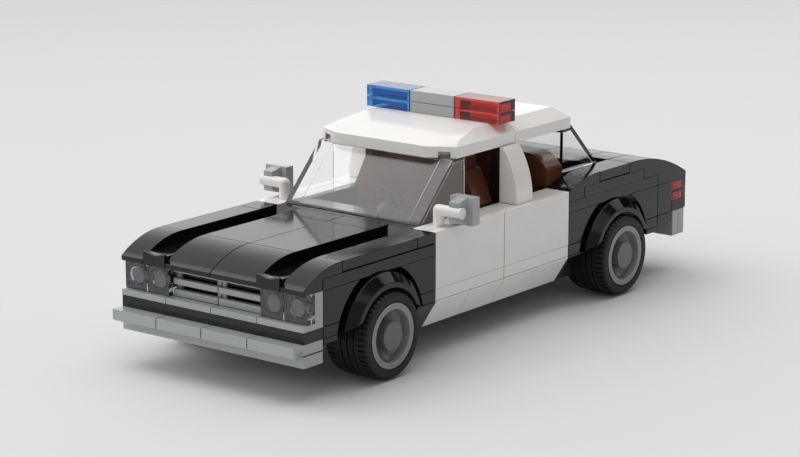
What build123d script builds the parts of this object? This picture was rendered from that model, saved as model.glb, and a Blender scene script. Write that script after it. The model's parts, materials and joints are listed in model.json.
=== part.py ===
from build123d import *
import os
from math import asin, cos, degrees, hypot, radians, sin

# A toy four-door police patrol car assembled from interlocking building
# bricks, eight studs wide.  Millimetres.  While it is modelled, X runs across
# the car (+X is its left side), Y runs back from the front edge of the doors,
# and Z up from the underside of the white sill strip.  Every piece is moved to
# the part's own frame on export: origin on the ground, under the middle of the
# car, front towards -Y.

# ---- Brick system ----
STUD = 8.0            # pitch of the studs
PLATE = 3.2           # height of a plate
HALF_PLATE = 1.6      # thickness of a bracket's leg
BRICK = 9.6           # height of a brick
PLAY = 0.1            # each upright side stands this far inside its grid line
SEAM = 0.1            # upright gap between like pieces that share a node
GROOVE = 0.35         # height and depth of the groove round a tile's foot
STUD_DIAMETER = 4.8
STUD_HEIGHT = 1.7
BAR_DIAMETER = 3.18
PLATE_WALL = 1.5          # side walls of a hollow plate
PLATE_ROOF = 1.0          # its top

# ---- Body lines across the car ----
BODY_HALF = 4 * STUD      # outer faces of the body
GUTTER_OUT = 3 * STUD     # hood channels run between these two lines
GUTTER_IN = 2 * STUD
DOOR_TILE_IN = BODY_HALF - PLATE
CORE_IN = GUTTER_OUT - PLATE

# ---- Stations along the car, from the front edge of the doors ----
BUMPER_FRONT = -7.5 * STUD
RAIL_LIP = 1.5             # thickness of the lip along the bumper's front
RAIL_FLANGE = 1.6          # thickness of the flange that carries it
NOSE = -7 * STUD
FASCIA_BACK = -6 * STUD
HOOD_CURVE_BACK = -5 * STUD
COWL = -1 * STUD
DOOR_SPLIT = 4 * STUD
PILLAR = 5 * STUD
DOORS_BACK = 8 * STUD
QUARTER_STEP = 9 * STUD
DECK_FLAT = 10 * STUD
DECK_CURVE = 12 * STUD
TAIL_STEP_1 = 13 * STUD
TAIL_STEP_2 = 14 * STUD
TAIL_BLOCK = 15 * STUD
TAIL = 16 * STUD

# ---- Levels, from the underside of the sill strip ----
SILL_TOP = PLATE
HOOD_UNDER = 4 * PLATE
HOOD_LOW = 5 * PLATE
HOOD_TOP = 6 * PLATE
DECK_TOP = 7 * PLATE
ROOF_UNDER = HOOD_TOP + 2 * STUD
ROOF_EDGE = ROOF_UNDER + PLATE
ROOF_TOP = ROOF_EDGE + PLATE
LAMP_LAYER = PLATE

# ---- Wheels ----
FRONT_AXLE = -3 * STUD
REAR_AXLE = 11 * STUD
TYRE_DIAMETER = 24.3
TYRE_WIDTH = 14.0
TYRE_SHOULDER = 0.9
RIM_DIAMETER = 17.8
RIM_LIP = 1.6             # radial width of the bright ring at the rim's face
RIM_STEP = 2.6            # depth of the wall behind that ring
RIM_DISH = 5.5            # depth of the dish, where the hub cap stands on it
RIM_WEB = 1.8
RIM_DRAFT = 0.3           # how much the wall behind the ring narrows
RIM_TUBE_INSET = 0.6      # the pin tube stops this far inside the rim's back edge
RIM_HUB_DIAMETER = 7.9
HUB_CAP_DIAMETER = 7.9
PIN_DIAMETER = 4.8
PIN_CLEARANCE = 0.05      # radial running clearance between pin and wheel
PIN_END_GAP = 0.4         # between the pin's end and the rim's web
PIN_ROOT = 2.0            # depth of the pin's root in its holder
WHEEL_FACE = BODY_HALF + 4.0
AXLE_LEVEL = -3.85
GROUND = AXLE_LEVEL - TYRE_DIAMETER / 2

# ---- Wheel arches ----
TYRE_CLEARANCE = 0.7      # between the tyre and the mudguard over it
ARCH_MOUTH_RADIUS = TYRE_DIAMETER / 2 + TYRE_CLEARANCE
ARCH_FACE_RADIUS = ARCH_MOUTH_RADIUS + 1.45   # outer edge of the mudguard's level face
ARCH_RADIUS = ARCH_MOUTH_RADIUS + 3.5         # the mudguard's outside, behind its bevel
ARCH_GAP = 2.3            # between mudguard and body side
ARCH_FLARE_START = BODY_HALF + 0.6
ARCH_FACE = BODY_HALF + 3.1
ARCH_INNER = GUTTER_OUT - 2.5
ARCH_FOOT = 0.3           # level of the mudguard's feet at their outside
ARCH_FOOT_RISE = 1.4      # how much higher the feet are beside the tyre

ROCKER_EDGE = 0.5         # upright edge at the top of a rocker
PILLAR_FOOT = 1.0         # upright foot below a pillar's curve

# ---- Roof ----
ROOF_HALF = 3 * STUD
ROOF_FRONT = 2 * STUD
ROOF_CORNER = 2.5 * STUD
ROOF_SPLIT = 6 * STUD
ROOF_BACK = 9.5 * STUD
ROOF_BEVEL = 4.0
ROOF_RIDGE = 34.0         # where the long slope over the windscreen reaches the top
ROOF_CORNER_RUN = 4.0     # how far inward the corner slopes run, per side

# ---- Glass ----
GLASS = 1.6
SCREEN_FOOT = 2.8         # front edge of the windscreen's foot
SCREEN_RAKE = 15.6        # how far the windscreen leans back over its height
SCREEN_BACK = 3 * STUD
SCREEN_LEDGE = 2.2        # width of the ledge inside the windscreen's foot
SCREEN_STUD_X = 2.5 * STUD
SCREEN_STUD_Y = 2.5 * STUD
REAR_GLASS_FRONT = QUARTER_STEP
REAR_GLASS_TOP = QUARTER_STEP + 5.2
REAR_GLASS_FOOT = REAR_AXLE + 2.2
REAR_GLASS_LIP = 0.7      # rises this far behind the roof's back edge

# ---- Front ----
CURVE_LIP = 1.3
LAMP_CENTRES = (GUTTER_IN + STUD / 2, GUTTER_OUT + STUD / 2)
LAMP_LEVEL = PLATE + HALF_PLATE + STUD / 2
LAMP_WINDOW = 0.9         # thickness of a lamp's face in front of its socket
SOCKET_PLAY = 0.1         # radial play between a stud and the socket round it
GRILLE_LEG = HALF_PLATE   # brackets behind the grille have a thin upright
LAMP_LEG = PLATE          # those behind the lamps have a thick one
GRILLE_BAR_DEPTH = HALF_PLATE
GRILLE_POST = 1.5
GRILLE_BACKING = 0.8
GRILLE_BARS = ((0, 1.9), (3.3, 4.9), (6.6, 8.0))     # (bottom, top) above the bracket's foot
SCOOP_RISE = 0.35         # ends of the scoop's lip above the channel floor
SCOOP_DIP = 0.4           # how far its middle sinks below them
SCOOP_EDGE = 0.5          # rounding of its two front corners
CHANNEL_END = 0.5         # level top of the wedge that closes a channel

# ---- Rear bumper ----
REAR_BUMPER_FRONT = 120.8
REAR_BUMPER_HEIGHT = STUD
TAIL_LIP = 1.8
TAIL_FLAT = 2.5           # level run before the tail's curve begins

# ---- Mirrors ----
MIRROR_ARM_X = 27.6
MIRROR_ARM_Y = 7.0
MIRROR_ARM_RISE = 4.4
MIRROR_ARM_REACH = 8.1
MIRROR_CLIP_WIDTH = 3.4
MIRROR_CLIP_X = 33.2
MIRROR_CLIP_NECK = 1.2    # between the bar and the square plate
MIRROR_CLIP_REACH = 0.7   # how far the jaws reach past the bar's axis
MIRROR_CLIP_ROOT = 3.6    # half height of the jaws at the plate
MIRROR_CLIP_TIP = 2.9     # half height of the jaws at their tips

# ---- Cabin ----
STEERING_X = 0.5 * STUD
STEERING_Y = 2 * STUD
STEERING_RISE = 2.6       # the wheel's centre above the dashboard's top
STEERING_LEAN = 0.7       # rise over run of its column
STEERING_LENGTH = 13.5
STEERING_RADIUS = 4.6
STEERING_RIM = 1.2
STEERING_SPOKE = 1.4
STEERING_COLUMN = 2.4
DASH_TOP_BACK = 11.0
DASH_EDGE = 2.0           # upright edge at the back of its top
SEAT_FRONT = 20.0
SEAT_REST = DOOR_SPLIT    # front of the front bench's back
SEAT_BACK = PILLAR
SEAT_CUSHION = HOOD_UNDER
SEAT_END = CORE_IN + 1.2  # half width of its back at the belt
SEAT_SHOULDER = GUTTER_IN + 1.6   # half width where the slopes at its ends stop
SEAT_SHOULDER_TOP = 3 * BRICK
SEAT_TOP = 10 * PLATE
BENCH_FRONT = DOORS_BACK - STUD
BENCH_REST = DOORS_BACK
BENCH_CUSHION = 11.0
BENCH_END = HOOD_TOP + 5.2
BENCH_TOP = 3 * BRICK

# ---- Helpers ----
def block(x0, x1, y0, y1, z0, z1):
    """A box between plain limits."""
    return Pos((x0 + x1) / 2, (y0 + y1) / 2, (z0 + z1) / 2) * Box(x1 - x0, y1 - y0, z1 - z0)


def brick(x0, x1, y0, y1, z0, z1):
    """A box between grid lines, with the play real bricks have at their sides."""
    return block(x0 + PLAY, x1 - PLAY, y0 + PLAY, y1 - PLAY, z0, z1)


def tile(x0, x1, y0, y1, z0, z1):
    """A flat tile lying on its grid cell, with the groove round its foot."""
    foot = block(
        x0 + PLAY + GROOVE, x1 - PLAY - GROOVE, y0 + PLAY + GROOVE, y1 - PLAY - GROOVE, z0, z0 + GROOVE
    )
    return foot + brick(x0, x1, y0, y1, z0 + GROOVE, z1)


def side_prism(lines, x0, x1):
    """A side-view outline in Y and Z, drawn out from x0 to x1 with play at both ends."""
    plane = Plane.YZ.offset(x0 + PLAY)
    face = make_face(Curve() + [plane * line for line in lines])
    return extrude(face, x1 - x0 - 2 * PLAY, dir=(1, 0, 0))


def outline_prism(points, x0, x1):
    """A straight-sided side-view outline drawn out from x0 to x1, with play."""
    return side_prism([Polyline(*points, close=True)], x0, x1)


def crown(low, high):
    """An arc from a low point up to a high point, level where it meets the high one."""
    run = high[0] - low[0]
    rise = high[1] - low[1]
    radius = (run * run + rise * rise) / (2 * rise)
    side = 1 if run > 0 else -1
    half = 0.5 * degrees(asin(abs(run) / radius))
    middle = (
        high[0] - side * radius * sin(radians(half)),
        high[1] - radius + radius * cos(radians(half)),
    )
    return ThreePointArc(low, middle, high)


def both_sides(solids):
    """Solids of the left side, with their mirror images on the right."""
    return list(solids) + [mirror(solid, Plane.YZ) for solid in solids]


def round_bar(start, end, diameter):
    """A straight cylinder between two points."""
    way = Vector(*end) - Vector(*start)
    plane = Plane(origin=start, z_dir=way)
    return extrude(plane * Circle(diameter / 2), way.length)


# ---- Chassis ----
def floor_plates():
    neck = GUTTER_IN
    return [
        brick(-GUTTER_OUT, GUTTER_OUT, COWL, QUARTER_STEP, -PLATE, 0),
        brick(-neck, neck, FASCIA_BACK, COWL, -PLATE, 0),
        brick(-neck, neck, QUARTER_STEP, REAR_BUMPER_FRONT, -PLATE, 0),
    ]


def wheel_holders():
    """A plate under each end of the floor, with a pin out to each side."""
    holders = []
    for axle in (FRONT_AXLE, REAR_AXLE):
        body = brick(-GUTTER_IN, GUTTER_IN, axle - STUD, axle + STUD, -2 * PLATE, -PLATE)
        for side in (-1, 1):
            tip = side * (WHEEL_FACE - RIM_DISH - RIM_WEB - PIN_END_GAP)
            root = side * (GUTTER_IN - PIN_ROOT)
            body += round_bar((root, axle, AXLE_LEVEL), (tip, axle, AXLE_LEVEL), PIN_DIAMETER) - block(
                -GUTTER_IN, GUTTER_IN, axle - STUD, axle + STUD, -PLATE, 0
            )
        holders.append(body)
    return holders


def rocker_brackets():
    """L-shaped brackets under the floor's edge that carry the sloped rockers."""
    outline = [
        (GUTTER_IN, -PLATE - HALF_PLATE),
        (GUTTER_OUT + HALF_PLATE, -PLATE - HALF_PLATE),
        (GUTTER_OUT + HALF_PLATE, -HALF_PLATE / 4),
        (GUTTER_OUT, -HALF_PLATE / 4),
        (GUTTER_OUT, -PLATE),
        (GUTTER_IN, -PLATE),
    ]
    face = make_face(Plane.XZ * Polyline(*outline, close=True))
    pieces = []
    for number in range(4):
        start = number * 2 * STUD
        pieces.append(Pos(0, start + 2 * STUD - PLAY, 0) * extrude(face, 2 * STUD - 2 * PLAY, dir=(0, -1, 0)))
    return both_sides(pieces)


# ---- Rockers ----
def rocker(y0, y1):
    """A sideways wedge: full thickness at the top, a thin lip at the bottom."""
    outline = [
        (GUTTER_OUT + HALF_PLATE, 0),
        (BODY_HALF - PLAY, 0),
        (BODY_HALF - PLAY, -ROCKER_EDGE),
        (GUTTER_OUT + 2 * HALF_PLATE, -STUD),
        (GUTTER_OUT + HALF_PLATE, -STUD),
    ]
    moved = [(x, z - PLAY) for x, z in outline]
    face = make_face(Plane.XZ * Polyline(*moved, close=True))
    return Pos(0, y1 - PLAY, 0) * extrude(face, y1 - y0 - 2 * PLAY, dir=(0, -1, 0))


def rockers_white():
    return both_sides([rocker(n * 2 * STUD, (n + 1) * 2 * STUD) for n in range(4)])


def rockers_black():
    return both_sides([rocker(COWL, 0), rocker(DOORS_BACK, QUARTER_STEP)])


# ---- Front end ----
def front_bumper_tiles():
    """Plates with a rail along their front: a flange, and a lip that hangs from it before a groove."""
    groove = block(
        -BODY_HALF, BODY_HALF, BUMPER_FRONT + RAIL_LIP, NOSE, -2 * PLATE, -RAIL_FLANGE
    )
    return [
        tile(n * 2 * STUD, (n + 1) * 2 * STUD, BUMPER_FRONT, FASCIA_BACK, -PLATE, 0) - groove
        for n in range(-2, 2)
    ]


def front_bumper_plates():
    """A plate under the railed ones, whose tongue reaches under the floor."""
    lower = brick(-BODY_HALF, BODY_HALF, NOSE, FASCIA_BACK, -2 * PLATE, -PLATE)
    tongue = block(-GUTTER_OUT, GUTTER_OUT, FASCIA_BACK - 1, FASCIA_BACK + STUD / 2, -2 * PLATE, -PLATE)
    return [lower + tongue]


def grille_backing():
    """Black strips that close the slots from behind."""
    foot = PLATE + HALF_PLATE
    back = FASCIA_BACK - GRILLE_LEG
    inset = GRILLE_POST + SEAM
    low = foot + 2 * PLAY
    high = HOOD_UNDER - 2 * PLAY
    return [
        block(x0 + inset, x0 + GUTTER_IN - inset, back - GRILLE_BACKING, back, low, high)
        for x0 in (-GUTTER_IN, 0)
    ]


def front_valance():
    return [brick(-BODY_HALF, BODY_HALF, NOSE, FASCIA_BACK, 0, PLATE)] + grille_backing()


def stud_on_edge(x, y, z, radius, height):
    """A cylinder that points forward from a face at y."""
    return Pos(x, y - height / 2, z) * Rot(90, 0, 0) * Cylinder(radius, height)


def lamp_bracket(x0, leg, studs=()):
    """An L-shaped bracket: a thin leg forward, and an upright leg behind with studs."""
    foot = PLATE
    outline = [
        (NOSE + PLAY, foot),
        (FASCIA_BACK - PLAY, foot),
        (FASCIA_BACK - PLAY, HOOD_UNDER),
        (FASCIA_BACK - leg, HOOD_UNDER),
        (FASCIA_BACK - leg, foot + HALF_PLATE),
        (NOSE + PLAY, foot + HALF_PLATE),
    ]
    body = outline_prism(outline, x0, x0 + GUTTER_IN)
    for x in studs:
        body += stud_on_edge(x, FASCIA_BACK - leg, LAMP_LEVEL, STUD_DIAMETER / 2, STUD_HEIGHT)
    return body


def lamp_brackets():
    middle = [lamp_bracket(x0, GRILLE_LEG) for x0 in (-GUTTER_IN, 0)]
    return middle + both_sides([lamp_bracket(GUTTER_IN, LAMP_LEG, LAMP_CENTRES)])


def headlamps():
    """Clear tiles on edge, each with a round socket sunk in from behind over a stud."""
    back = FASCIA_BACK - LAMP_LEG
    half = STUD / 2 - PLAY
    depth = PLATE - LAMP_WINDOW
    lamps = []
    for x in LAMP_CENTRES:
        lens = block(x - half, x + half, back - PLATE, back, LAMP_LEVEL - half, LAMP_LEVEL + half)
        lamps.append(lens - stud_on_edge(x, back, LAMP_LEVEL, STUD_DIAMETER / 2 + SOCKET_PLAY, depth))
    return both_sides(lamps)


def grille():
    """Two slotted tiles on edge: level bars across two recessed end posts."""
    foot = PLATE + HALF_PLATE
    back = FASCIA_BACK - GRILLE_LEG
    face = back - PLATE
    posts_face = face + GRILLE_BAR_DEPTH
    pieces = []
    for x0 in (-GUTTER_IN, 0):
        x1 = x0 + GUTTER_IN
        bars = []
        for low, high in GRILLE_BARS:
            z0 = foot + max(low, PLAY)
            z1 = foot + min(high, STUD - PLAY)
            bars.append(block(x0 + PLAY, x1 - PLAY, face, posts_face, z0, z1))
        posts = [
            block(x, x + GRILLE_POST, posts_face, back, foot + PLAY, foot + STUD - PLAY)
            for x in (x0 + PLAY, x1 - PLAY - GRILLE_POST)
        ]
        pieces.append(bars[0] + bars[1:] + posts)
    return pieces


def inner_bricks():
    """Bricks out of sight that tie the nose, hood, cabin and tail to the floor."""
    pieces = [
        brick(-GUTTER_OUT, GUTTER_OUT, FASCIA_BACK, HOOD_CURVE_BACK - STUD / 2, 0, PLATE),
        brick(-GUTTER_OUT, GUTTER_OUT, FASCIA_BACK, HOOD_CURVE_BACK, PLATE + SEAM, HOOD_UNDER),
        brick(-CORE_IN, CORE_IN, COWL, 0, 0, HOOD_UNDER),
        brick(-GUTTER_OUT, GUTTER_OUT, TAIL_STEP_2, TAIL_BLOCK, 0, HOOD_UNDER),
    ]
    for y0, y1 in ((HOOD_CURVE_BACK, COWL), (DECK_FLAT, TAIL_STEP_2)):
        pieces += both_sides([brick(STUD, GUTTER_IN, y0, y1, 0, HOOD_UNDER)])
    return pieces


# ---- Hood and front fenders ----
def hood_base():
    """Two long plates that close the engine bay and carry hood and fenders."""
    return [
        brick(-BODY_HALF, 0, FASCIA_BACK, 0, HOOD_UNDER, HOOD_LOW),
        brick(0, BODY_HALF, FASCIA_BACK, 0, HOOD_UNDER, HOOD_LOW),
    ]


def nose_curve(x0, x1):
    """A curved slope over the nose, stepped underneath to sit on the plates."""
    front = NOSE + PLAY
    back = HOOD_CURVE_BACK - PLAY
    step = FASCIA_BACK - PLAY
    lip = (front, HOOD_UNDER + CURVE_LIP)
    top = (back, HOOD_TOP)
    edges = [
        Polyline(top, (back, HOOD_LOW), (step, HOOD_LOW), (step, HOOD_UNDER), (front, HOOD_UNDER), lip),
        crown(lip, top),
    ]
    return side_prism(edges, x0, x1)


def nose_curves():
    return both_sides([nose_curve(0, GUTTER_IN), nose_curve(GUTTER_OUT, BODY_HALF)])


def hood_tiles():
    tiles = []
    for x0 in (-GUTTER_IN, 0):
        tiles.append(brick(x0, x0 + GUTTER_IN, HOOD_CURVE_BACK, COWL, HOOD_LOW, HOOD_TOP))
        tiles.append(brick(x0, x0 + GUTTER_IN, COWL, 0, HOOD_LOW, HOOD_TOP))
    return tiles


def fender_tiles():
    return both_sides(
        [
            tile(GUTTER_OUT, BODY_HALF, HOOD_CURVE_BACK, COWL, HOOD_LOW, HOOD_TOP),
            tile(GUTTER_OUT, BODY_HALF, COWL, 0, HOOD_LOW, HOOD_TOP),
        ]
    )


def scoop():
    """The mouth of a hood channel: a block whose top is a shallow trough."""
    top = HOOD_LOW + SCOOP_RISE
    body = brick(GUTTER_IN, GUTTER_OUT, NOSE, FASCIA_BACK, HOOD_UNDER, top)
    front_corners = body.edges().filter_by(Axis.Z).sort_by(Axis.Y)[:2]
    body = fillet(front_corners, SCOOP_EDGE)
    half = STUD / 2 - PLAY
    radius = (half * half + SCOOP_DIP * SCOOP_DIP) / (2 * SCOOP_DIP)
    trough = Cylinder(radius, 4 * STUD, rotation=(90, 0, 0))
    return body - Pos(GUTTER_IN + STUD / 2, FASCIA_BACK, top - SCOOP_DIP + radius) * trough


def channel_ends():
    """Each hood channel's mouth, and the wedge that closes it at the back."""
    foot = -CHANNEL_END - PLATE
    wedge = [(foot, HOOD_LOW), (-PLAY, HOOD_LOW), (-PLAY, HOOD_TOP), (-CHANNEL_END, HOOD_TOP)]
    return both_sides([scoop(), outline_prism(wedge, GUTTER_IN, GUTTER_OUT)])


# ---- Body sides over the wheels ----
def arch_cutter(axle):
    radius = ARCH_RADIUS + ARCH_GAP
    return Pos(0, axle, AXLE_LEVEL) * Rot(0, 90, 0) * Cylinder(radius, 4 * BODY_HALF)


def side_course(stations, low, high, axle):
    """One course of a body side between stations, cut round the wheel."""
    cutter = arch_cutter(axle)
    pieces = []
    for y0, y1 in zip(stations[:-1], stations[1:]):
        cut = brick(GUTTER_OUT, BODY_HALF, y0, y1, low, high) - cutter
        pieces.extend(cut.solids())
    return pieces


FRONT_STATIONS = (FASCIA_BACK, FRONT_AXLE + STUD, 0)
REAR_STATIONS = (DOORS_BACK, REAR_AXLE + STUD, TAIL_STEP_2)


def body_side_walls():
    front = side_course(FRONT_STATIONS, PLATE, HOOD_UNDER, FRONT_AXLE)
    rear = side_course(REAR_STATIONS + (TAIL_BLOCK,), PLATE, HOOD_UNDER, REAR_AXLE)
    return both_sides(front + rear)


def body_side_sills():
    """The course level with the door sills, and thin feet below its ends."""
    top = PLATE - SEAM
    front = side_course((FASCIA_BACK, 0), 0, top, FRONT_AXLE)
    rear = side_course((DOORS_BACK, TAIL_STEP_2, TAIL_BLOCK), 0, top, REAR_AXLE)
    feet = [
        brick(GUTTER_OUT, BODY_HALF, FASCIA_BACK, HOOD_CURVE_BACK - 2, -HALF_PLATE, -SEAM),
        brick(GUTTER_OUT, BODY_HALF, TAIL_STEP_1 + 2, TAIL_STEP_2, -HALF_PLATE, -SEAM),
    ]
    return both_sides(front + rear + feet)


def mudguard(axle):
    """A round arch with a bevelled outer edge, open over the tyre and behind it."""
    profile = [
        (ARCH_INNER, ARCH_MOUTH_RADIUS),
        (ARCH_FACE, ARCH_MOUTH_RADIUS),
        (ARCH_FACE, ARCH_FACE_RADIUS),
        (ARCH_FLARE_START, ARCH_RADIUS),
        (ARCH_INNER, ARCH_RADIUS),
    ]
    hoop = revolve(make_face(Polyline(*profile, close=True)), Axis.X)
    arch = Pos(0, axle, AXLE_LEVEL) * hoop
    saddle = brick(GUTTER_IN, GUTTER_OUT, axle - GUTTER_IN, axle + GUTTER_IN, HOOD_UNDER - PLATE, HOOD_UNDER)
    mouth = Pos(0, axle, AXLE_LEVEL) * Rot(0, 90, 0) * Cylinder(ARCH_MOUTH_RADIUS, 4 * BODY_HALF)
    reach = 2 * ARCH_RADIUS
    slope = ARCH_FOOT_RISE / (ARCH_RADIUS - ARCH_MOUTH_RADIUS)
    level = ARCH_FOOT + slope * ARCH_RADIUS
    feet = [
        (axle - reach, level - slope * reach),
        (axle, level),
        (axle + reach, level - slope * reach),
        (axle + reach, -reach),
        (axle - reach, -reach),
    ]
    return arch + (saddle - mouth) - outline_prism(feet, 0, 2 * BODY_HALF)


def mudguards():
    return both_sides([mudguard(FRONT_AXLE), mudguard(REAR_AXLE)])


# ---- Doors ----
def door_skin(y0, y1):
    return both_sides([brick(DOOR_TILE_IN, BODY_HALF, y0, y1, SILL_TOP, HOOD_TOP)])


def door_frames():
    return both_sides(
        [
            brick(GUTTER_OUT, DOOR_TILE_IN, 0, DOOR_SPLIT, SILL_TOP, HOOD_TOP),
            brick(GUTTER_OUT, DOOR_TILE_IN, DOOR_SPLIT, DOORS_BACK, SILL_TOP, HOOD_TOP),
        ]
    )


def door_sills():
    return both_sides(
        [
            brick(GUTTER_OUT, BODY_HALF, 0, DOOR_SPLIT, 0, SILL_TOP),
            brick(GUTTER_OUT, BODY_HALF, DOOR_SPLIT, DOORS_BACK, 0, SILL_TOP),
        ]
    )


# ---- Pillars, glass and roof ----
def pillars():
    """Curved slopes stood on end: thick at the belt, thin under the roof."""
    inner = GUTTER_OUT + PLAY
    foot = GUTTER_OUT + 2 * PLATE - PLAY
    lip = inner + CURVE_LIP
    low = (foot, HOOD_TOP)
    bend = (foot, HOOD_TOP + PILLAR_FOOT)
    high = (lip, ROOF_UNDER)
    rise = high[1] - bend[1]
    run = bend[0] - high[0]
    radius = (rise * rise + run * run) / (2 * run)
    half = 0.5 * degrees(asin(rise / radius))
    middle = (bend[0] - radius + radius * cos(radians(half)), bend[1] + radius * sin(radians(half)))
    edges = [
        Polyline(high, (inner, ROOF_UNDER), (inner, HOOD_TOP), low, bend),
        ThreePointArc(bend, middle, high),
    ]
    face = make_face(Curve() + [Plane.XZ * edge for edge in edges])
    pillar = Pos(0, PILLAR + STUD - PLAY, 0) * extrude(face, STUD - 2 * PLAY, dir=(0, -1, 0))
    return both_sides([pillar])


def cabin_walls():
    """Black inner walls under the windows, with the cores of the middle pillars."""
    return both_sides(
        [
            brick(CORE_IN, GUTTER_OUT, 0, PILLAR, 0, HOOD_TOP),
            brick(CORE_IN, GUTTER_OUT, PILLAR, PILLAR + STUD, 0, ROOF_UNDER),
            brick(CORE_IN, GUTTER_OUT, PILLAR + STUD, DOORS_BACK, 0, HOOD_TOP),
            brick(CORE_IN, GUTTER_OUT, DOORS_BACK, QUARTER_STEP, HOOD_UNDER, HOOD_TOP),
            brick(CORE_IN, GUTTER_OUT, QUARTER_STEP, REAR_AXLE, HOOD_UNDER, DECK_TOP),
        ]
    )


def glass_hood(outer, inner):
    """A glass hood: a side outline drawn across the cabin, hollowed from inside."""
    half = ROOF_HALF
    body = outline_prism(outer, -half, half)
    hollow = outline_prism(inner, -half + GLASS, half - GLASS)
    return body - hollow


def windscreen():
    """Raked pane, side wings and top, with a ledge at its foot and two studs on its top."""
    foot, top = HOOD_TOP, ROOF_UNDER
    lean = SCREEN_RAKE / (top - foot)
    outer = [(SCREEN_FOOT, foot), (SCREEN_FOOT + SCREEN_RAKE, top), (SCREEN_BACK, top), (SCREEN_BACK, foot)]
    inner_foot = SCREEN_FOOT + GLASS * hypot(lean, 1)
    inner = [
        (inner_foot - lean, foot - 1),
        (inner_foot + SCREEN_RAKE - GLASS * lean, top - GLASS),
        (SCREEN_BACK + 1, top - GLASS),
        (SCREEN_BACK + 1, foot - 1),
    ]
    ledge_back = inner_foot + GLASS * lean + SCREEN_LEDGE
    ledge = outline_prism(
        [
            (inner_foot - PLAY, foot),
            (inner_foot - PLAY + GLASS * lean, foot + GLASS),
            (ledge_back, foot + GLASS),
            (ledge_back, foot),
        ],
        -ROOF_HALF + GLASS - PLAY,
        ROOF_HALF - GLASS + PLAY,
    )
    screen = glass_hood(outer, inner) + ledge
    for side in (-1, 1):
        screen += Pos(side * SCREEN_STUD_X, SCREEN_STUD_Y, top + STUD_HEIGHT / 2) * Cylinder(
            STUD_DIAMETER / 2, STUD_HEIGHT
        )
    return [screen]


def rear_window():
    """Raked pane with side wings and a top, and a lip that shows behind the roof."""
    foot, top = DECK_TOP, ROOF_UNDER
    rake = REAR_GLASS_FOOT - REAR_GLASS_TOP
    lean = rake / (top - foot)
    across = GLASS * hypot(lean, 1)
    front = REAR_GLASS_FRONT
    lip = (REAR_GLASS_TOP - REAR_GLASS_LIP * lean, top + REAR_GLASS_LIP)
    outer = [(REAR_GLASS_FOOT, foot), lip, (ROOF_BACK, lip[1]), (ROOF_BACK, top), (front, top), (front, foot)]
    inner = [
        (REAR_GLASS_FOOT - across + lean, foot - 1),
        (REAR_GLASS_TOP - across + GLASS * lean, top - GLASS),
        (front - 1, top - GLASS),
        (front - 1, foot - 1),
    ]
    return [glass_hood(outer, inner)]


def sloped_off(body, edge_start, edge_end, inward, rise):
    """Cuts a body with the plane that rises inward from an edge at the roof's rim."""
    low = Vector(*edge_start, ROOF_EDGE)
    along = (Vector(*edge_end, ROOF_EDGE) - low).normalized()
    up = (Vector(*inward, 0) + Vector(0, 0, rise)).normalized()
    above = Plane(origin=low, x_dir=along, z_dir=along.cross(up))
    if above.z_dir.Z < 0:
        above = Plane(origin=low, x_dir=along, z_dir=-above.z_dir)
    return body - extrude(above * Rectangle(8 * BODY_HALF, 8 * BODY_HALF), 2 * STUD)


def roof_front():
    """The front panel: its bevels meet at slanted corners, notched for the glass's studs."""
    half = ROOF_HALF - PLAY
    back = ROOF_SPLIT - PLAY
    outline = [
        (-half, back),
        (-half, ROOF_CORNER),
        (-GUTTER_IN, ROOF_FRONT),
        (GUTTER_IN, ROOF_FRONT),
        (half, ROOF_CORNER),
        (half, back),
    ]
    rise = ROOF_TOP - ROOF_EDGE
    panel = Pos(0, 0, ROOF_UNDER) * extrude(make_face(Polyline(*outline, close=True)), ROOF_TOP - ROOF_UNDER)
    panel = sloped_off(panel, (-half, ROOF_FRONT), (half, ROOF_FRONT), (0, ROOF_RIDGE - ROOF_FRONT), rise)
    for side in (-1, 1):
        corner_out = (side * half, ROOF_CORNER)
        corner_in = (side * GUTTER_IN, ROOF_FRONT)
        panel = sloped_off(panel, corner_out, (side * half, back), (-side * ROOF_BEVEL, 0), rise)
        panel = sloped_off(panel, corner_out, corner_in, (-side * ROOF_CORNER_RUN, 2 * ROOF_CORNER_RUN), rise)
        panel -= Pos(side * SCREEN_STUD_X, SCREEN_STUD_Y, ROOF_UNDER) * Cylinder(
            STUD_DIAMETER / 2 + SOCKET_PLAY, 2 * (STUD_HEIGHT + PLAY)
        )
    return [panel]


def roof_rear():
    half = ROOF_HALF - PLAY
    front = ROOF_SPLIT + PLAY
    rise = ROOF_TOP - ROOF_EDGE
    panel = block(-half, half, front, ROOF_BACK, ROOF_UNDER, ROOF_TOP)
    panel = sloped_off(panel, (-half, ROOF_BACK), (half, ROOF_BACK), (0, -ROOF_BEVEL), rise)
    for side in (-1, 1):
        edge = ((side * half, front), (side * half, ROOF_BACK))
        panel = sloped_off(panel, *edge, (-side * ROOF_BEVEL, 0), rise)
    return [panel]


def hollow_plate(x0, x1, y0, y1, low, high):
    """A plate or tile that is open underneath."""
    body = brick(x0, x1, y0, y1, low, high)
    wall = PLATE_WALL - PLAY
    return body - brick(x0 + wall, x1 - wall, y0 + wall, y1 - wall, low - PLATE, high - PLATE_ROOF)


def light_bar(x0):
    """Two stacked layers, each two studs long."""
    layers = []
    for level in (0, 1):
        low = ROOF_TOP + level * LAMP_LAYER
        top = low + LAMP_LAYER - (0 if level else SEAM)
        layers.append(hollow_plate(x0, x0 + 2 * STUD, PILLAR, PILLAR + STUD, low, top))
    return layers


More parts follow.
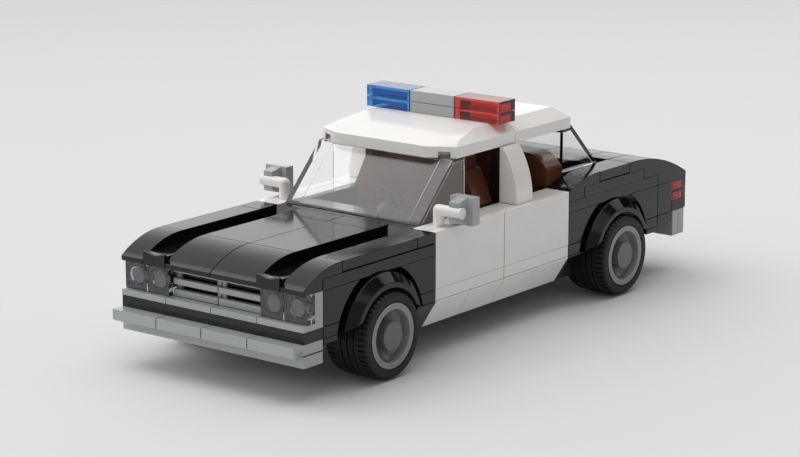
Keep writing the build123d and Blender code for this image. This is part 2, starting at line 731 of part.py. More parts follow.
# ---- Rear body ----
def belt_plates():
    """Plates over the rear wheels, and across the trunk behind the cabin."""
    strips = both_sides([brick(GUTTER_OUT, BODY_HALF, DOORS_BACK, TAIL_STEP_2, HOOD_UNDER, HOOD_LOW)])
    shelf = brick(-CORE_IN, CORE_IN, DECK_FLAT, REAR_AXLE, HOOD_UNDER, HOOD_LOW)
    return strips + [shelf, brick(-GUTTER_OUT, GUTTER_OUT, REAR_AXLE, TAIL_STEP_2, HOOD_UNDER, HOOD_LOW)]


def deck_plates():
    strips = both_sides([brick(GUTTER_OUT, BODY_HALF, QUARTER_STEP, TAIL_STEP_1, HOOD_LOW, HOOD_TOP)])
    shelf = brick(-CORE_IN, CORE_IN, DECK_FLAT, REAR_AXLE, HOOD_LOW, HOOD_TOP)
    return strips + [shelf, brick(-GUTTER_OUT, GUTTER_OUT, REAR_AXLE, TAIL_STEP_1, HOOD_LOW, HOOD_TOP)]


def quarter_curves():
    """The rise from the belt behind the doors to the rear deck."""
    front = DOORS_BACK + PLAY
    back = DECK_FLAT - PLAY
    step = QUARTER_STEP - PLAY
    low = (front, HOOD_TOP)
    high = (back, DECK_TOP)
    edges = [
        Polyline(high, (back, HOOD_TOP), (step, HOOD_TOP), (step, HOOD_LOW), (front, HOOD_LOW), low),
        crown(low, high),
    ]
    return both_sides([side_prism(edges, GUTTER_OUT, BODY_HALF)])


def rear_deck_tiles():
    """Tiles behind the rear seat: beside the window, and across the trunk."""
    sides = tile(GUTTER_OUT, BODY_HALF, DECK_FLAT, DECK_CURVE, HOOD_TOP, DECK_TOP)
    centre = tile(0, GUTTER_IN, REAR_AXLE, DECK_CURVE, HOOD_TOP, DECK_TOP)
    return both_sides([sides, centre])


def tail_curve(x0, x1):
    """The long curve down to the tail, stepped underneath over the plates."""
    front = DECK_CURVE + PLAY
    back = TAIL - PLAY
    step_1 = TAIL_STEP_1 + PLAY
    step_2 = TAIL_STEP_2 + PLAY
    lip = (back, HOOD_UNDER + TAIL_LIP)
    high = (front + TAIL_FLAT, DECK_TOP)
    edges = [
        Polyline(
            high,
            (front, DECK_TOP),
            (front, HOOD_TOP),
            (step_1, HOOD_TOP),
            (step_1, HOOD_LOW),
            (step_2, HOOD_LOW),
            (step_2, HOOD_UNDER),
            (back, HOOD_UNDER),
            lip,
        ),
        crown(lip, high),
    ]
    return side_prism(edges, x0, x1)


def tail_curves():
    lines = (0, GUTTER_IN, GUTTER_OUT, BODY_HALF)
    return both_sides([tail_curve(x0, x1) for x0, x1 in zip(lines[:-1], lines[1:])])


def tail_bricks():
    """Black bricks across the tail, between and below the lamps."""
    lamp_low = 2 * PLATE
    return [
        brick(-BODY_HALF, BODY_HALF, TAIL_BLOCK, TAIL, PLATE, lamp_low),
        brick(-GUTTER_IN, GUTTER_IN, TAIL_BLOCK, TAIL, lamp_low + SEAM, HOOD_UNDER),
    ]


def tail_lamps():
    """Two hollow red plates at each corner, one above the other."""
    low = 2 * PLATE
    return both_sides(
        [
            hollow_plate(GUTTER_IN, BODY_HALF, TAIL_BLOCK, TAIL, low, low + PLATE - SEAM),
            hollow_plate(GUTTER_IN, BODY_HALF, TAIL_BLOCK, TAIL, low + PLATE, low + 2 * PLATE),
        ]
    )


def rear_bumper():
    """A plate on edge across the tail, with four tiles on its outer face."""
    top = PLATE
    low = top - REAR_BUMPER_HEIGHT
    face = REAR_BUMPER_FRONT + PLATE
    half = BODY_HALF - PLAY
    plate = block(-half, half, REAR_BUMPER_FRONT, face - SEAM, low, top)
    width = 2 * STUD
    tiles = [
        block(x0 + PLAY, x0 + width - PLAY, face, face + PLATE, low, top)
        for x0 in (-2 * width, -width, 0, width)
    ]
    return [plate] + tiles


# ---- Mirrors ----
def mirror_arms():
    """Bars with a round elbow: up from the belt, then straight out."""
    level = HOOD_TOP + MIRROR_ARM_RISE
    elbow = (MIRROR_ARM_X, MIRROR_ARM_Y, level)
    post = round_bar((MIRROR_ARM_X, MIRROR_ARM_Y, HOOD_TOP), elbow, BAR_DIAMETER)
    arm = round_bar(elbow, (MIRROR_ARM_X + MIRROR_ARM_REACH, MIRROR_ARM_Y, level), BAR_DIAMETER)
    return both_sides([post + arm + Pos(*elbow) * Sphere(BAR_DIAMETER / 2)])


def mirror_clips():
    """A square plate with two tapered jaws that grip the bar."""
    level = HOOD_TOP + MIRROR_ARM_RISE
    grip = BAR_DIAMETER / 2
    plate_front = MIRROR_ARM_Y + grip + MIRROR_CLIP_NECK
    tip = MIRROR_ARM_Y - MIRROR_CLIP_REACH
    half = STUD / 2 - PLAY
    half_width = MIRROR_CLIP_WIDTH / 2 + PLAY
    x0 = MIRROR_CLIP_X - half
    x1 = MIRROR_CLIP_X + half
    plate = block(x0, x1, plate_front, plate_front + PLATE, level - half, level + half)
    outline = [
        (tip, level - MIRROR_CLIP_TIP),
        (plate_front, level - MIRROR_CLIP_ROOT),
        (plate_front, level + MIRROR_CLIP_ROOT),
        (tip, level + MIRROR_CLIP_TIP),
    ]
    jaws = outline_prism(outline, MIRROR_CLIP_X - half_width, MIRROR_CLIP_X + half_width)
    bore = Pos(MIRROR_CLIP_X, MIRROR_ARM_Y, level) * Rot(0, 90, 0) * Cylinder(grip, 2 * MIRROR_CLIP_WIDTH)
    return both_sides([plate + jaws - bore])


# ---- Cabin ----
def steering_wheel():
    """A six-sided ring section on a column that leans back, with one spoke bar."""
    level = HOOD_TOP + STEERING_RISE
    centre = Plane(origin=(STEERING_X, STEERING_Y, level), z_dir=(0, 1, STEERING_LEAN))
    middle = STEERING_RADIUS - STEERING_RIM / 2
    section = Plane.XZ * Pos(middle, 0, 0) * RegularPolygon(STEERING_RIM / 2, 6)
    ring = centre * revolve(section, Axis.Z)
    spokes = centre * Box(2 * middle, STEERING_SPOKE, STEERING_RIM * 0.75)
    column = extrude(centre * Circle(STEERING_COLUMN / 2), -STEERING_LENGTH)
    return [ring + spokes + column]


def dashboard():
    """A block under the windscreen's foot whose top overhangs, bored for the steering column."""
    outline = [
        (PLAY, 0),
        (STUD, 0),
        (STUD, BRICK),
        (DASH_TOP_BACK, HOOD_TOP - DASH_EDGE),
        (DASH_TOP_BACK, HOOD_TOP),
        (PLAY, HOOD_TOP),
    ]
    return [outline_prism(outline, -CORE_IN, CORE_IN) - steering_wheel()[0]]


def cross_prism(edges, y0, y1):
    """The left half of an outline in X and Z, made whole and drawn out from y0 to y1."""
    half = make_face(Curve() + [Plane.XZ * edge for edge in edges])
    solid = Pos(0, y1, 0) * extrude(half, y1 - y0, dir=(0, -1, 0))
    return solid + mirror(solid, Plane.YZ)


def front_seats():
    """One bench: cushion, and a back whose ends slope in above the belt."""
    inside = CORE_IN - PLAY
    outline = [
        (0, 0),
        (inside, 0),
        (inside, HOOD_TOP),
        (SEAT_END, HOOD_TOP),
        (SEAT_SHOULDER, SEAT_SHOULDER_TOP),
        (GUTTER_IN, SEAT_SHOULDER_TOP),
        (GUTTER_IN, SEAT_TOP),
        (0, SEAT_TOP),
    ]
    cushion = block(-inside, inside, SEAT_FRONT, SEAT_REST + PLAY, 0, SEAT_CUSHION)
    return [cushion + cross_prism([Polyline(*outline, close=True)], SEAT_REST + PLAY, SEAT_BACK - PLAY)]


def rear_seat():
    """A bench whose back curves down to its ends, which rest on the cabin walls."""
    inside = CORE_IN - PLAY
    end = GUTTER_OUT - PLAY
    cushion = block(-inside, inside, BENCH_FRONT, BENCH_REST + PLAY, 0, BENCH_CUSHION)
    curve_foot = (end, BENCH_END)
    curve_top = (GUTTER_IN, BENCH_TOP)
    shelf = [(0, BENCH_TOP), (0, 0), (inside, 0), (inside, HOOD_TOP), (end, HOOD_TOP)]
    edges = [
        Polyline(curve_top, *shelf, curve_foot),
        crown(curve_foot, curve_top),
    ]
    return [cushion + cross_prism(edges, BENCH_REST + PLAY, QUARTER_STEP - PLAY)]


# ---- Wheels: modelled round the X axis, outer face at X = 0 ----
def tyre():
    """A square-shouldered tyre; its tread is a smooth band."""
    outer = TYRE_DIAMETER / 2
    inner = RIM_DIAMETER / 2
    shoulder = TYRE_SHOULDER
    profile = [
        (0, inner),
        (0, outer - shoulder),
        (-shoulder, outer),
        (-TYRE_WIDTH + shoulder, outer),
        (-TYRE_WIDTH, outer - shoulder),
        (-TYRE_WIDTH, inner),
    ]
    return revolve(make_face(Polyline(*profile, close=True)), Axis.X)


def rim():
    """A dished rim: bright ring, short wall, cone to the hub, and a hollow back round a pin tube."""
    outer = RIM_DIAMETER / 2
    lip = outer - RIM_LIP
    wall = lip - RIM_DRAFT
    hub = RIM_HUB_DIAMETER / 2
    bore = PIN_DIAMETER / 2 + PIN_CLEARANCE
    web = -RIM_DISH - RIM_WEB
    tube_end = -TYRE_WIDTH + RIM_TUBE_INSET
    profile = [
        (0, outer),
        (0, lip),
        (-RIM_STEP, wall),
        (-RIM_DISH, hub),
        (-RIM_DISH, 0),
        (web, 0),
        (web, bore),
        (tube_end, bore),
        (tube_end, hub),
        (web, hub),
        (-TYRE_WIDTH, lip),
        (-TYRE_WIDTH, outer),
    ]
    return revolve(make_face(Polyline(*profile, close=True)), Axis.X)


def hub_cap():
    return Pos(-RIM_DISH / 2, 0, 0) * Rot(0, 90, 0) * Cylinder(HUB_CAP_DIAMETER / 2, RIM_DISH)


def place_wheel(piece, side, axle):
    if side < 0:
        piece = mirror(piece, Plane.YZ)
    return Pos(side * WHEEL_FACE, axle, AXLE_LEVEL) * piece


# ---- Export ----
NODES = {
    "floor_plates": floor_plates(),
    "wheel_holders": wheel_holders(),
    "inner_bricks": inner_bricks(),
    "rocker_brackets": rocker_brackets(),
    "rockers_white": rockers_white(),
    "rockers_black": rockers_black(),
    "front_bumper_tiles": front_bumper_tiles(),
    "front_bumper_plates": front_bumper_plates(),
    "front_valance": front_valance(),
    "lamp_brackets": lamp_brackets(),
    "headlamps": headlamps(),
    "grille": grille(),
    "hood_base": hood_base(),
    "nose_curves": nose_curves(),
    "hood_tiles": hood_tiles(),
    "fender_tiles": fender_tiles(),
    "channel_ends": channel_ends(),
    "body_side_walls": body_side_walls(),
    "body_side_sills": body_side_sills(),
    "mudguards": mudguards(),
    "front_doors": door_skin(0, DOOR_SPLIT),
    "rear_doors": door_skin(DOOR_SPLIT, DOORS_BACK),
    "door_frames": door_frames(),
    "door_sills": door_sills(),
    "cabin_walls": cabin_walls(),
    "pillars": pillars(),
    "windscreen": windscreen(),
    "rear_window": rear_window(),
    "roof_front": roof_front(),
    "roof_rear": roof_rear(),
    "light_bar_red": light_bar(STUD),
    "light_bar_grey": light_bar(-STUD),
    "light_bar_blue": light_bar(-3 * STUD),
    "belt_plates": belt_plates(),
    "deck_plates": deck_plates(),
    "quarter_curves": quarter_curves(),
    "rear_deck_tiles": rear_deck_tiles(),
    "tail_curves": tail_curves(),
    "tail_bricks": tail_bricks(),
    "tail_lamps": tail_lamps(),
    "rear_bumper": rear_bumper(),
    "mirror_arms": mirror_arms(),
    "mirror_clips": mirror_clips(),
    "dashboard": dashboard(),
    "steering_wheel": steering_wheel(),
    "front_seats": front_seats(),
    "rear_seat": rear_seat(),
}
WHEELS = {
    "front_left": (1, FRONT_AXLE),
    "front_right": (-1, FRONT_AXLE),
    "rear_left": (1, REAR_AXLE),
    "rear_right": (-1, REAR_AXLE),
}
WHEEL_PIECES = {"tyre": tyre(), "rim": rim(), "hub_cap": hub_cap()}
for corner, (side, axle) in WHEELS.items():
    for name, piece in WHEEL_PIECES.items():
        NODES[f"{name}_{corner}"] = [place_wheel(piece, side, axle)]

TO_PART_FRAME = Location((0, -(BUMPER_FRONT + TAIL) / 2, -GROUND))
os.makedirs("parts", exist_ok=True)
for name, pieces in NODES.items():
    solids = [solid for piece in pieces for solid in piece.solids()]
    export_step(Compound([TO_PART_FRAME * solid for solid in solids]), f"parts/{name}.step")
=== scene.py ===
import json
from math import acos, atan2, cos, pi, radians, sin

import bmesh
import bpy
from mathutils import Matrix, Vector


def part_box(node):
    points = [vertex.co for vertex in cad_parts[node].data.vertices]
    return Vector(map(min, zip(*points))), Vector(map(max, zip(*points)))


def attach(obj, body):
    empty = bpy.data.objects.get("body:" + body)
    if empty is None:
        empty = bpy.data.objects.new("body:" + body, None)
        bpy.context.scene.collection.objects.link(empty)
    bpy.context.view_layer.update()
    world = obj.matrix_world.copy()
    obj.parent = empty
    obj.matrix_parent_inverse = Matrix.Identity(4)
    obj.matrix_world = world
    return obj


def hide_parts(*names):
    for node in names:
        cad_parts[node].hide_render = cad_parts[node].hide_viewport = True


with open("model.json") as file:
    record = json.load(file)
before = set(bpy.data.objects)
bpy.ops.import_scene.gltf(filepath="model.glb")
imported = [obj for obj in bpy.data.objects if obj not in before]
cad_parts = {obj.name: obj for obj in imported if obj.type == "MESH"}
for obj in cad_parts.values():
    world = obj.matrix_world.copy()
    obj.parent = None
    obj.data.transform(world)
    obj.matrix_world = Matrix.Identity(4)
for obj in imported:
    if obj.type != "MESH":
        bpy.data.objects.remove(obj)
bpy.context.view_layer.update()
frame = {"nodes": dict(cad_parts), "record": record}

# Lengths are in mm unless a line says otherwise. +X is the car's left and -Y its front.
MM = 0.001
NODES = frame["nodes"]
CORNERS = ("front_left", "front_right", "rear_left", "rear_right")

# The brick grid that the CAD is built on
STUD = 8.0
PLATE = 3.2
PLAY = 0.1                   # on each side of a piece
FLOOR_LEVEL = 16.0           # top of the car's floor plates

# ---- Materials ---------------------------------------------------------------

NOISE_LOW, NOISE_HIGH = 0.3, 0.7       # a noise's values mostly lie between these

# Moulded plastic; noise scales are in cells a metre
MOTTLE_SCALE = 90
MOTTLE_SPREAD = 0.04         # share by which the colour wanders
SCUFF_SCALE = 260
SCUFF_DETAIL = 4.0
SCUFF_STRETCH = (1, 0.35, 1)
SKIN_SCALE = 120
SKIN_DETAIL = 1.0
SKIN_WAVE = 0.04
SKIN_DEPTH = 0.4 * MM
PLASTIC_ROUGHNESS = 0.12
ROUGHNESS_SPREAD = 0.04
PLASTIC_IOR = 1.5

# Painted shade in the seams between pieces: a surface this near counts, and the openness at which
# it is dark or clear
SEAM_REACH = 0.5 * MM
SEAM_DARK = 0.25
SEAM_OPEN = 0.62
SEAM_TONE = 0.12             # share of the colour left in the dark
SEAM_SAMPLES = 8

# Painted shade of the fine groove in a rim's face: a darker ring in the colour
RIM_GROOVE_RADIUS = 8.05
RIM_GROOVE_HALF = 0.11       # half its width
RIM_GROOVE_SHADE_TONE = 0.75

# Transparent plastic
FLOW_SCALE = 150
FLOW_DETAIL = 3.0
FLOW_STRETCH = (1, 1, 0.3)
CLEAR_ROUGHNESS = 0.015
CLEAR_SPREAD = 0.03

# Tyre rubber
GRAIN_SCALE = 1500
GRAIN_DETAIL = 3.0
GRAIN_TONES = (0.8, 1.25)
GRAIN_BUMP = 0.25
GRAIN_DEPTH = 0.1 * MM
RUBBER_ROUGHNESS = (0.42, 0.6)
RUBBER_SPECULAR = 0.35


def new_material(name):
    """An empty material with a Principled shader: the material, its tree and the shader."""
    material = bpy.data.materials.new(name)
    material.use_nodes = True
    tree = material.node_tree
    tree.nodes.clear()
    out = tree.nodes.new("ShaderNodeOutputMaterial")
    shader = tree.nodes.new("ShaderNodeBsdfPrincipled")
    tree.links.new(shader.outputs["BSDF"], out.inputs["Surface"])
    return material, tree, shader


def object_noise(tree, scale, detail=2.0, stretch=(1, 1, 1)):
    """A noise that stays on the object, stretched along its axes."""
    coords = tree.nodes.new("ShaderNodeTexCoord")
    mapping = tree.nodes.new("ShaderNodeMapping")
    mapping.inputs["Scale"].default_value = stretch
    noise = tree.nodes.new("ShaderNodeTexNoise")
    noise.inputs["Scale"].default_value = scale
    noise.inputs["Detail"].default_value = detail
    tree.links.new(coords.outputs["Object"], mapping.inputs["Vector"])
    tree.links.new(mapping.outputs["Vector"], noise.inputs["Vector"])
    return noise.outputs["Fac"]


def ranged(tree, source, from_low, from_high, low=0.0, high=1.0):
    """A value mapped from one range to another."""
    span = tree.nodes.new("ShaderNodeMapRange")
    span.inputs["From Min"].default_value = from_low
    span.inputs["From Max"].default_value = from_high
    span.inputs["To Min"].default_value = low
    span.inputs["To Max"].default_value = high
    tree.links.new(source, span.inputs["Value"])
    return span.outputs["Result"]


def calculated(tree, operation, first, second=None):
    """A Math node's output: each input is a number or another node's output."""
    node = tree.nodes.new("ShaderNodeMath")
    node.operation = operation
    for socket, given in zip(node.inputs, (first, second)):
        if isinstance(given, (int, float)):
            socket.default_value = given
        elif given is not None:
            tree.links.new(given, socket)
    return node.outputs["Value"]


def mixed(tree, factor, first, second):
    """A mix of two colours, each given as a triple or as another node's output."""
    mix = tree.nodes.new("ShaderNodeMix")
    mix.data_type = "RGBA"
    tree.links.new(factor, mix.inputs["Factor"])
    for socket, given in (("A", first), ("B", second)):
        if isinstance(given, tuple):
            mix.inputs[socket].default_value = (*given, 1)
        else:
            tree.links.new(given, mix.inputs[socket])
    return mix.outputs["Result"]


def toned(colour, share):
    """A darker or lighter tone of a colour."""
    return tuple(channel * share for channel in colour)


def bumped(tree, shader, source, strength, depth):
    """Raises and sinks the surface a little by a texture's value."""
    bump = tree.nodes.new("ShaderNodeBump")
    bump.inputs["Strength"].default_value = strength
    bump.inputs["Distance"].default_value = depth
    tree.links.new(source, bump.inputs["Height"])
    tree.links.new(bump.outputs["Normal"], shader.inputs["Normal"])


def seam_shaded(tree, mottled, colour):
    """Paints shade into a colour in the narrow gaps between pieces, where little light gets in."""
    crevice = tree.nodes.new("ShaderNodeAmbientOcclusion")
    crevice.samples = SEAM_SAMPLES
    crevice.inputs["Distance"].default_value = SEAM_REACH
    openness = ranged(tree, crevice.outputs["AO"], SEAM_DARK, SEAM_OPEN)
    return mixed(tree, openness, toned(colour, SEAM_TONE), mottled)


def plastic(name, colour, roughness=PLASTIC_ROUGHNESS, ior=PLASTIC_IOR):
    """Moulded plastic: faint mottling, painted shade in its seams, uneven gloss and a gently wavy
    skin.
    """
    material, tree, shader = new_material(name)
    cloud = object_noise(tree, MOTTLE_SCALE)
    dark, light = toned(colour, 1 - MOTTLE_SPREAD), toned(colour, 1 + MOTTLE_SPREAD)
    mottled = mixed(tree, cloud, dark, light)
    # the base colour carries painted shade in the seams between pieces
    tree.links.new(seam_shaded(tree, mottled, colour), shader.inputs["Base Color"])
    scuff = object_noise(tree, SCUFF_SCALE, SCUFF_DETAIL, SCUFF_STRETCH)
    rough = ranged(tree, scuff, NOISE_LOW, NOISE_HIGH, roughness, roughness + ROUGHNESS_SPREAD)
    tree.links.new(rough, shader.inputs["Roughness"])
    bumped(tree, shader, object_noise(tree, SKIN_SCALE, SKIN_DETAIL), SKIN_WAVE, SKIN_DEPTH)
    shader.inputs["IOR"].default_value = ior
    return material


def rim_plastic(name, colour):
    """Plastic with a fine groove's shade painted as a darker ring on each rim's face, by the
    distance from the nearest axle.
    """
    material = plastic(name, colour)
    tree = material.node_tree
    shader = next(node for node in tree.nodes if node.type == "BSDF_PRINCIPLED")
    boxes = map(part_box, ("rim_front_left", "rim_rear_left"))
    front, rear = [(Vector(low) + Vector(high)) / 2 for low, high in boxes]
    coords = tree.nodes.new("ShaderNodeTexCoord")
    split = tree.nodes.new("ShaderNodeSeparateXYZ")
    tree.links.new(coords.outputs["Object"], split.inputs["Vector"])
    # the distance along the car is folded about the middle, so that both axles fall on one
    along = calculated(tree, "SUBTRACT", split.outputs["Y"], (front.y + rear.y) / 2)
    along = calculated(tree, "ABSOLUTE", along)
    along = calculated(tree, "SUBTRACT", along, abs(front.y - rear.y) / 2)
    above = calculated(tree, "SUBTRACT", split.outputs["Z"], front.z)
    along_squared = calculated(tree, "MULTIPLY", along, along)
    above_squared = calculated(tree, "MULTIPLY", above, above)
    radius = calculated(tree, "SQRT", calculated(tree, "ADD", along_squared, above_squared))
    # painted shade: the colour is darker in a thin ring at the groove's radius
    groove = calculated(tree, "COMPARE", radius, RIM_GROOVE_RADIUS * MM)
    groove.node.inputs[2].default_value = RIM_GROOVE_HALF * MM
    plain = shader.inputs["Base Color"].links[0].from_socket
    painted_groove_shade = mixed(tree, groove, plain, toned(colour, RIM_GROOVE_SHADE_TONE))
    tree.links.new(painted_groove_shade, shader.inputs["Base Color"])
    return material


def clear_plastic(name, colour):
    """Transparent moulded plastic with faint flow marks."""
    material, tree, shader = new_material(name)
    shader.inputs["Base Color"].default_value = (*colour, 1)
    shader.inputs["Transmission Weight"].default_value = 1.0
    shader.inputs["IOR"].default_value = PLASTIC_IOR
    flow = object_noise(tree, FLOW_SCALE, FLOW_DETAIL, FLOW_STRETCH)
    roughest = CLEAR_ROUGHNESS + CLEAR_SPREAD
    rough = ranged(tree, flow, NOISE_LOW, NOISE_HIGH, CLEAR_ROUGHNESS, roughest)
    tree.links.new(rough, shader.inputs["Roughness"])
    return material


def rubber(name, colour):
    """Matt tyre rubber with a fine grain."""
    material, tree, shader = new_material(name)
    grain = object_noise(tree, GRAIN_SCALE, GRAIN_DETAIL)
    dark, light = (toned(colour, share) for share in GRAIN_TONES)
    tree.links.new(mixed(tree, grain, dark, light), shader.inputs["Base Color"])
    rough = ranged(tree, grain, NOISE_LOW, NOISE_HIGH, *RUBBER_ROUGHNESS)
    tree.links.new(rough, shader.inputs["Roughness"])
    shader.inputs["Specular IOR Level"].default_value = RUBBER_SPECULAR
    bumped(tree, shader, grain, GRAIN_BUMP, GRAIN_DEPTH)
    return material


BLACK = (0.005, 0.005, 0.0053)
MATERIALS = {
    "black_plastic": plastic("black_plastic_gloss", BLACK, roughness=0.09, ior=1.46),
    "white_plastic": plastic("white_plastic_gloss", (0.90, 0.875, 0.85)),
    "light_grey_plastic": plastic("light_grey_plastic_gloss", (0.415, 0.43, 0.44)),
    "dark_grey_plastic": plastic("dark_grey_plastic_gloss", (0.125, 0.135, 0.145)),
    "rim_grey_plastic": rim_plastic("rim_grey_plastic_gloss", (0.285, 0.288, 0.29)),
    "brown_plastic": plastic("brown_plastic_gloss", (0.13, 0.045, 0.025)),
    "clear_plastic": clear_plastic("clear_plastic_gloss", (0.97, 0.98, 0.98)),
    "clear_red_plastic": clear_plastic("clear_red_plastic_gloss", (0.58, 0.045, 0.035)),
    "clear_blue_plastic": clear_plastic("clear_blue_plastic_gloss", (0.04, 0.27, 0.62)),
    "tyre": rubber("tyre_rubber", (0.011, 0.011, 0.0115)),
}
# The lamps' clear plastic is tinted grey: painted shade that darkens what shows through them
OWN_MATERIALS = {"headlamps": clear_plastic("lamp_plastic_gloss", (0.64, 0.655, 0.67))}

# ---- CAD nodes: materials and moulded edges ----------------------------------

SLOT_OF = {part["node"]: part["material_slot"] for part in frame["record"]["subparts"]}
EDGE_RADII = {"white_plastic": 0.2, "light_grey_plastic": 0.22}
EDGE_RADIUS = 0.14           # of the other plastics
EDGE_ANGLE = 28              # degrees: edges that turn more than this are rounded
CLEAR_GAP = 0.03             # between a clear piece and what it touches
WELD_REACH = 0.001


def edged(piece, radius):
    """Rounds a piece's edges as a mould does."""
    bevel = piece.modifiers.new("edges", "BEVEL")
    bevel.width = radius * MM
    bevel.segments = 2
    bevel.limit_method = "ANGLE"
    bevel.angle_limit = radians(EDGE_ANGLE)
    return piece


def dress(node):
    """Gives a CAD node its plastic and its moulded edges."""
    slot = SLOT_OF[node.name]
    node.data.materials.clear()
    node.data.materials.append(OWN_MATERIALS.get(node.name) or MATERIALS[slot])
    weld = node.modifiers.new("weld", "WELD")
    weld.merge_threshold = WELD_REACH * MM
    edged(node, EDGE_RADII.get(slot, EDGE_RADIUS))
    if slot.startswith("clear"):
        shrink = node.modifiers.new("shrink", "DISPLACE")
        shrink.mid_level = 0
        shrink.strength = -CLEAR_GAP * MM
    normals = node.modifiers.new("normals", "WEIGHTED_NORMAL")
    normals.keep_sharp = False


for node in NODES.values():
    dress(node)

# ---- Pieces made here --------------------------------------------------------


def new_piece(name, points, faces, slot, body, sharp=30):
    """A mesh object, smooth but for edges sharper than an angle, that rides on a body."""
    mesh = bpy.data.meshes.new(name)
    mesh.from_pydata([Vector(point) * MM for point in points], [], faces)
    form = bmesh.new()
    form.from_mesh(mesh)
    bmesh.ops.recalc_face_normals(form, faces=form.faces)
    form.to_mesh(mesh)
    form.free()
    mesh.shade_smooth()
    mesh.set_sharp_from_angle(angle=radians(sharp))
    mesh.materials.append(MATERIALS[slot])
    piece = bpy.data.objects.new(name, mesh)
    bpy.context.scene.collection.objects.link(piece)
    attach(piece, body)
    return piece


def strip(first, second, closed):
    """The faces between two rows of point numbers."""
    pairs = list(zip(first, second))
    following = pairs[1:] + (pairs[:1] if closed else [])
    return [(a, c, d, b) for (a, b), (c, d) in zip(pairs, following)]


# Tread. Lines are (inward from the outer face, depth below the crown), from the outside in.
TREAD_PITCHES = 48
SLOT_DEPTH = 0.7
RIB_GROOVE_DEPTH = 0.6
SIDEWALL = ((0.0, 3.10), (0.10, 2.95), (0.02, 2.70), (0.0, 1.10), (0.10, 0.78))
SHOULDER_CUT = ((0.34, 0.60), (0.80, 0.40), (1.50, 0.24), (2.40, 0.12))     # between the slots
SHOULDER_TOP = ((2.70, 0.09), (3.30, 0.03))
GROOVES = (3.85, 5.95, 8.05)           # middles of the grooves between the ribs
GROOVE_WIDTH = 0.38
GROOVE_WALL = 0.04
INNER_SHOULDER = 1.25        # the inner shoulder is this much wider than the outer one
SLOT_WALL, SLOT_END = 0.05, 0.33       # shares of a pitch
BEAD_INSET = 0.5


def tread_line(width):
    """Points across the tread: (inward, depth, row), where rows 0 and 1 are the cut shoulders."""
    line = [(x, depth, None) for x, depth in SIDEWALL]
    line += [(x, depth, 0) for x, depth in SHOULDER_CUT]
    line += [(x, depth, None) for x, depth in SHOULDER_TOP]
    for centre in GROOVES:
        low, high = centre - GROOVE_WIDTH / 2, centre + GROOVE_WIDTH / 2
        line += [(low, 0.0, None), (low + GROOVE_WALL, RIB_GROOVE_DEPTH, None)]
        line += [(high - GROOVE_WALL, RIB_GROOVE_DEPTH, None), (high, 0.0, None)]
    line += [(width - x * INNER_SHOULDER, depth, None) for x, depth in reversed(SHOULDER_TOP)]
    line += [(width - x * INNER_SHOULDER, depth, 1) for x, depth in reversed(SHOULDER_CUT)]
    line += [(width - x, depth, None) for x, depth in reversed(SIDEWALL)]
    return line


def slot_shares():
    """Places round one pitch: (share of the pitch, row cut there), the rows half a pitch apart."""
    shares = []
    for row in (0, 1):
        start = row / 2
        shares += [(start, None), (start + SLOT_WALL, row)]
        shares += [(start + SLOT_END, row), (start + SLOT_END + SLOT_WALL, None)]
    return shares


def treaded_tyre(corner):
    """A tyre with smooth middle ribs and two staggered rows of cut shoulder blocks."""
    node = "tyre_" + corner
    low, high = (Vector(end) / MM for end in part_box(node))
    centre = (low + high) / 2
    crown = (high.z - low.z) / 2
    width = high.x - low.x
    rim_low, rim_high = (Vector(end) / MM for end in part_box("rim_" + corner))
    bead_depth = crown - (rim_high.z - rim_low.z) / 2
    outward = 1 if centre.x > 0 else -1
    face = high.x if outward > 0 else low.x
    line = [(BEAD_INSET, bead_depth, None)] + tread_line(width)
    line.append((width - BEAD_INSET, bead_depth, None))
    points, rings = [], []
    for pitch in range(TREAD_PITCHES):
        for share, cut in slot_shares():
            angle = 2 * pi * (pitch + share) / TREAD_PITCHES
            rings.append(range(len(points), len(points) + len(line)))
            for inward, depth, row in line:
                is_cut = row is not None and row == cut
                radius = crown - (max(depth, SLOT_DEPTH) if is_cut else depth)
                y, z = centre.y + radius * cos(angle), centre.z + radius * sin(angle)
                points.append((face - outward * inward, y, z))
    faces = []
    for first, second in zip(rings, rings[1:] + rings[:1]):
        faces += strip(first, second, closed=True)
    tyre = new_piece("treaded_tyre_" + corner, points, faces, "tyre", "wheel_" + corner)
    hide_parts(node)


# Windscreen: the shell keeps the CAD's outside and is thinner, but for a border down each side
SCREEN_RAKE = 15.6           # how far back its pane leans from foot to top
SCREEN_STUD = 1.7            # the studs over its top, which the roof hides
GLASS_THICKNESS = 1.0
SCREEN_BORDER = 4.6          # width of the thicker border, from the outside
SCREEN_STEP = 0.4            # how much thicker it is
SCREEN_STEP_RUN = 0.12
GLASS_EDGE = 0.12


